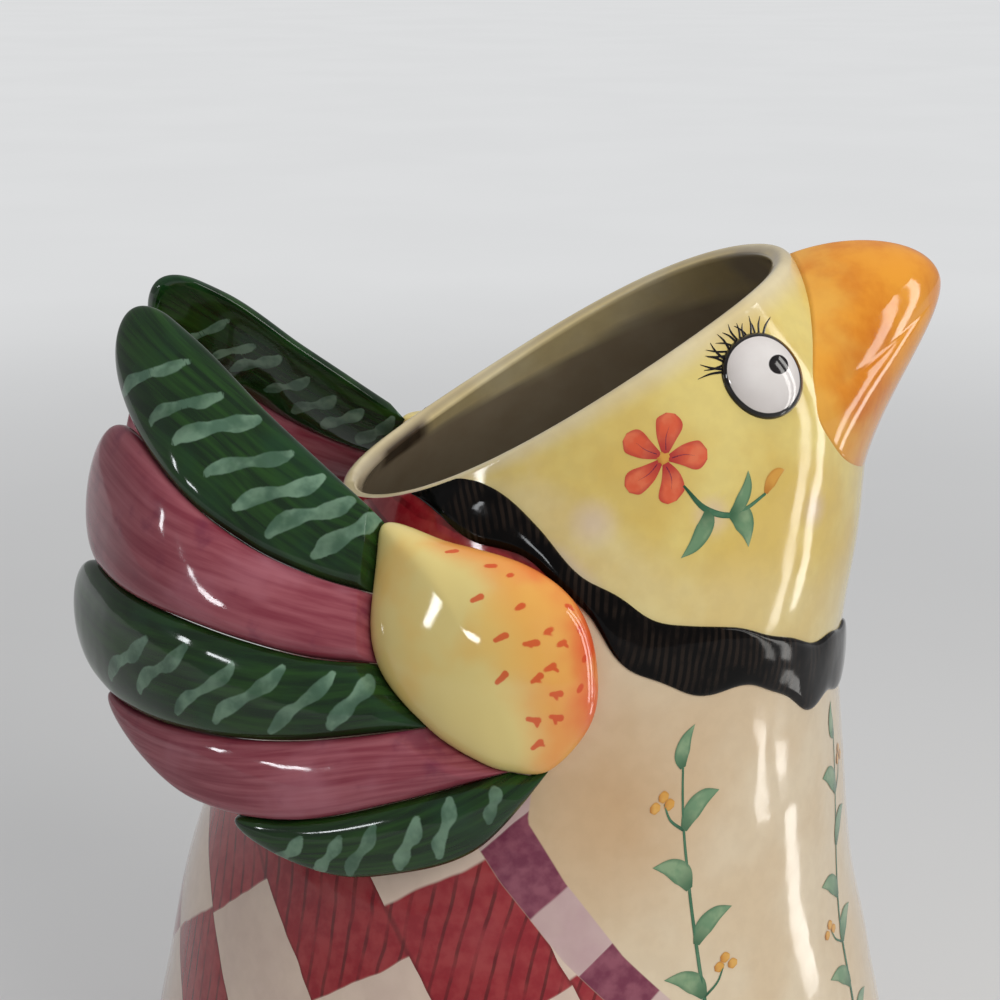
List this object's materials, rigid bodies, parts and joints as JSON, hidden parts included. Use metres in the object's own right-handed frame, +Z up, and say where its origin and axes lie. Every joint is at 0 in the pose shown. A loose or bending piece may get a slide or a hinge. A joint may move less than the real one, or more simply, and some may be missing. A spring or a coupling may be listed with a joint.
{
  "type": "pitcher",
  "caption": "Hand-painted earthenware hen pitcher with a hollow body, a slanted open mouth, a beak spout, a black collar, two domed eyes and two wings of five swept-back feathers.",
  "frame": {"origin": "centre of the foot ring, on the table", "axes": "+X towards the beak, +Y towards the hen's left wing, +Z up"},
  "size_m": [0.2229, 0.206, 0.2798],
  "materials": {
    "cream_glaze": "gloss",
    "bare_foot": "matte",
    "orange_glaze": "gloss",
    "black_glaze": "gloss",
    "white_glaze": "gloss",
    "gold_glaze": "gloss",
    "green_glaze": "gloss",
    "mauve_glaze": "gloss"
  },
  "bodies": {
    "root": {"body_shell": "cream_glaze", "foot_ring": "bare_foot", "beak": "orange_glaze", "collar": "black_glaze", "right_eye": "white_glaze", "left_eye": "white_glaze", "right_wing_shoulder": "gold_glaze", "left_wing_shoulder": "gold_glaze", "right_wing_feather_1": "green_glaze", "right_wing_feather_2": "mauve_glaze", "right_wing_feather_3": "green_glaze", "right_wing_feather_4": "mauve_glaze", "right_wing_feather_5": "green_glaze", "left_wing_feather_1": "green_glaze", "left_wing_feather_2": "mauve_glaze", "left_wing_feather_3": "green_glaze", "left_wing_feather_4": "mauve_glaze", "left_wing_feather_5": "green_glaze"}
  },
  "joints": []
}
